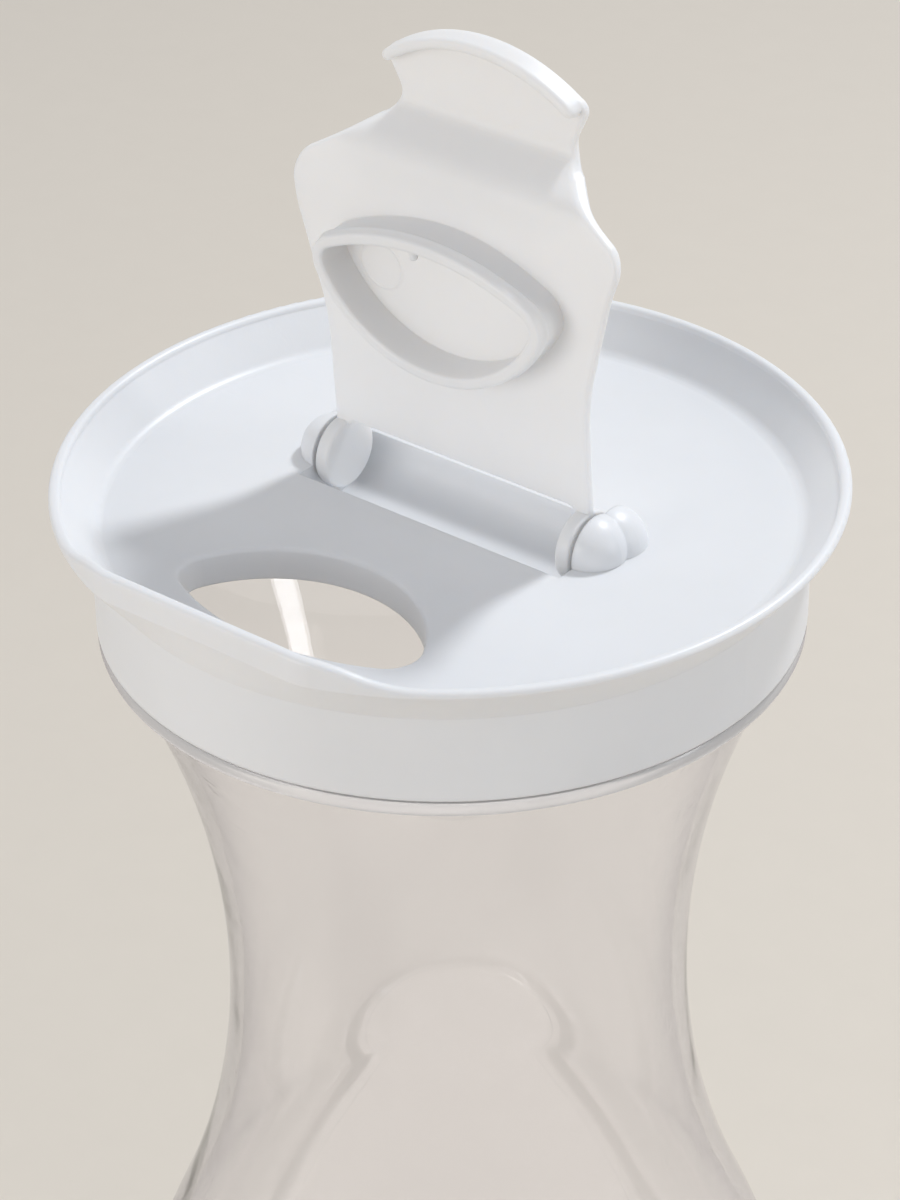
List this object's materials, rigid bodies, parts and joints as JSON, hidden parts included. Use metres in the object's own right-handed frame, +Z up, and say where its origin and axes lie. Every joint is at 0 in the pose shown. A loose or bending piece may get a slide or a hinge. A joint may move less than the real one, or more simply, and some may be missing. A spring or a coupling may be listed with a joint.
{
  "type": "carafe pitcher",
  "caption": "Clear hourglass drink carafe with a push-on white lid: raised pouring lip, oval pour hole, and a hinged flap with a plug ring and a thumb tab.",
  "frame": {"origin": "centre of the base, on the surface the carafe stands on", "axes": "+Z up along the carafe's axis, -Y towards the pouring lip, X along the flap's hinge"},
  "size_m": [0.115, 0.115, 0.31],
  "materials": {
    "clear_plastic": "clear, polished",
    "lid_plastic": "satin, slightly translucent white",
    "flap_plastic": "satin, slightly translucent white"
  },
  "bodies": {
    "carafe": {"carafe": "clear_plastic"},
    "lid": {"lid": "lid_plastic"},
    "flap": {"flap": "flap_plastic"}
  },
  "joints": [
    {"name": "lid_lift", "type": "slide", "parent": "carafe", "child": "lid", "axis": [0, 0, 1], "range_m": [0, 0.06]},
    {"name": "flap_hinge", "type": "hinge", "parent": "lid", "child": "flap", "pos_m": [0, 0.0023, 0.247], "axis": [-1, 0, 0], "range_deg": [-86.5, 73.5]}
  ]
}
